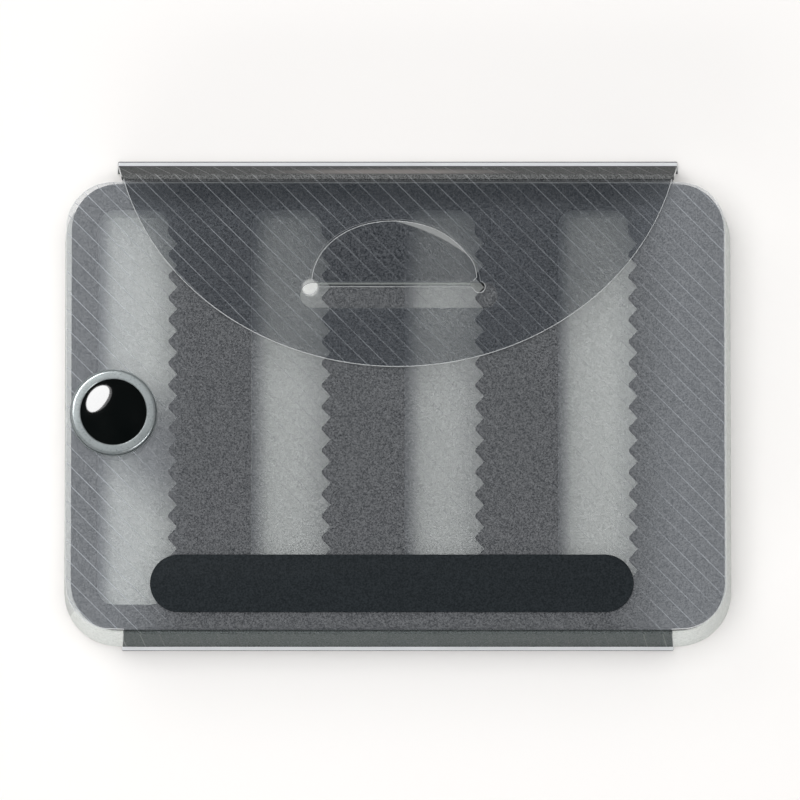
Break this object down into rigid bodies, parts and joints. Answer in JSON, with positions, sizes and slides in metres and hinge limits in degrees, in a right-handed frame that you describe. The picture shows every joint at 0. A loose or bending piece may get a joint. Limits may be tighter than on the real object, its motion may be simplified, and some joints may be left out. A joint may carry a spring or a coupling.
{
  "type": "fly box",
  "caption": "Pocket fly case: a smoke-clear creased folder with a tongue-and-slot flap and a press stud, round a foam tray whose dark hook foam has pinked windows over troughs.",
  "frame": {"origin": "on the flat back, under the middle of the foam base", "axes": "the case lies on its back: +X to the right along its length, +Y towards the flap's fold, +Z out of the front cover"},
  "size_m": [0.09, 0.0672, 0.0144],
  "materials": {
    "folder_sheet": "smoke-grey translucent sheet, slightly frosted, with fine diagonal lines",
    "foam_base": "pale greenish-white closed-cell foam",
    "hook_foam": "dark grey closed-cell foam with pinked window edges",
    "adhesive": "thin clear adhesive film",
    "label": "bare dark satin sticker",
    "snap_metal": "satin plated metal",
    "snap_dome": "glossy black dome"
  },
  "bodies": {
    "tray": {"back_panel": "folder_sheet", "adhesive_film": "adhesive", "foam_base": "foam_base", "hook_foam": "hook_foam", "snap_stud": "snap_metal", "snap_rivet": "snap_metal"},
    "bottom_fold": {"bottom_fold": "folder_sheet"},
    "cover": {"front_cover": "folder_sheet", "label": "label", "snap_cap_ring": "snap_metal", "snap_dome": "snap_dome", "snap_socket": "snap_metal", "snap_spring": "snap_metal"},
    "tongue": {"tongue": "folder_sheet"},
    "top_fold": {"top_fold": "folder_sheet"},
    "flap": {"flap": "folder_sheet"}
  },
  "joints": [
    {"name": "bottom_fold_hinge", "type": "hinge", "parent": "tray", "child": "bottom_fold", "pos_m": [0, -0.0319, 0.00025], "axis": [1, 0, 0], "range_deg": [0, 95]},
    {"name": "cover_hinge", "type": "hinge", "parent": "bottom_fold", "child": "cover", "pos_m": [0, -0.03085, 0.01205], "axis": [1, 0, 0], "range_deg": [0, 70]},
    {"name": "top_fold_hinge", "type": "hinge", "parent": "tray", "child": "top_fold", "pos_m": [0, 0.0349, 0.00025], "axis": [-1, 0, 0], "range_deg": [0, 108]},
    {"name": "flap_hinge", "type": "hinge", "parent": "top_fold", "child": "flap", "pos_m": [0, 0.0308, 0.01265], "axis": [-1, 0, 0], "range_deg": [0, 72]},
    {"name": "tongue_flex", "type": "hinge", "parent": "cover", "child": "tongue", "pos_m": [0, 0.01585, 0.0133], "axis": [1, 0, 0], "range_deg": [0, 90], "stiffness_Nm_per_rad": 0.002}
  ]
}
